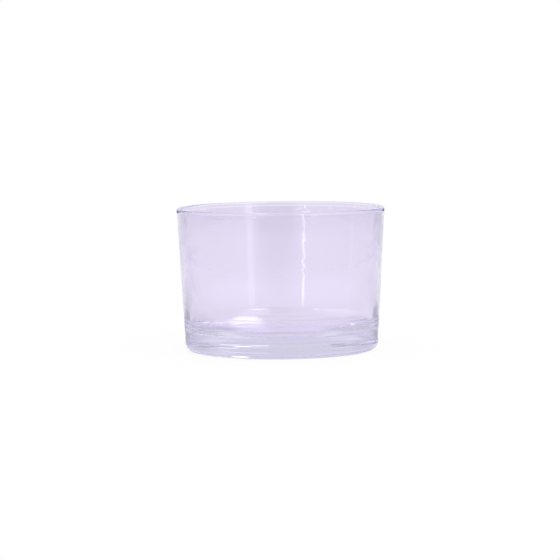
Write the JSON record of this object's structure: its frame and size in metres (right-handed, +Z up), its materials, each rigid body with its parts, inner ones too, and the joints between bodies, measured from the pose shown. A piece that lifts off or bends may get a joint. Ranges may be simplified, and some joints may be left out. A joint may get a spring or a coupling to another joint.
{
  "type": "votive candle holder",
  "caption": "Low, wide candle holder in clear glass: a slightly flared round wall with a rounded lip on a thick base that stands on a flat ring.",
  "frame": {"origin": "centre of the ring that the vessel stands on, at the level of the table", "axes": "+Z up along the axis of the vessel, towards its open mouth; the vessel is round, so +X and +Y are free"},
  "size_m": [0.09, 0.09, 0.062],
  "materials": {
    "clear_glass": "clear, fire-polished, with a faint lilac cast"
  },
  "bodies": {
    "root": {"glass_vessel": "clear_glass"}
  },
  "joints": []
}
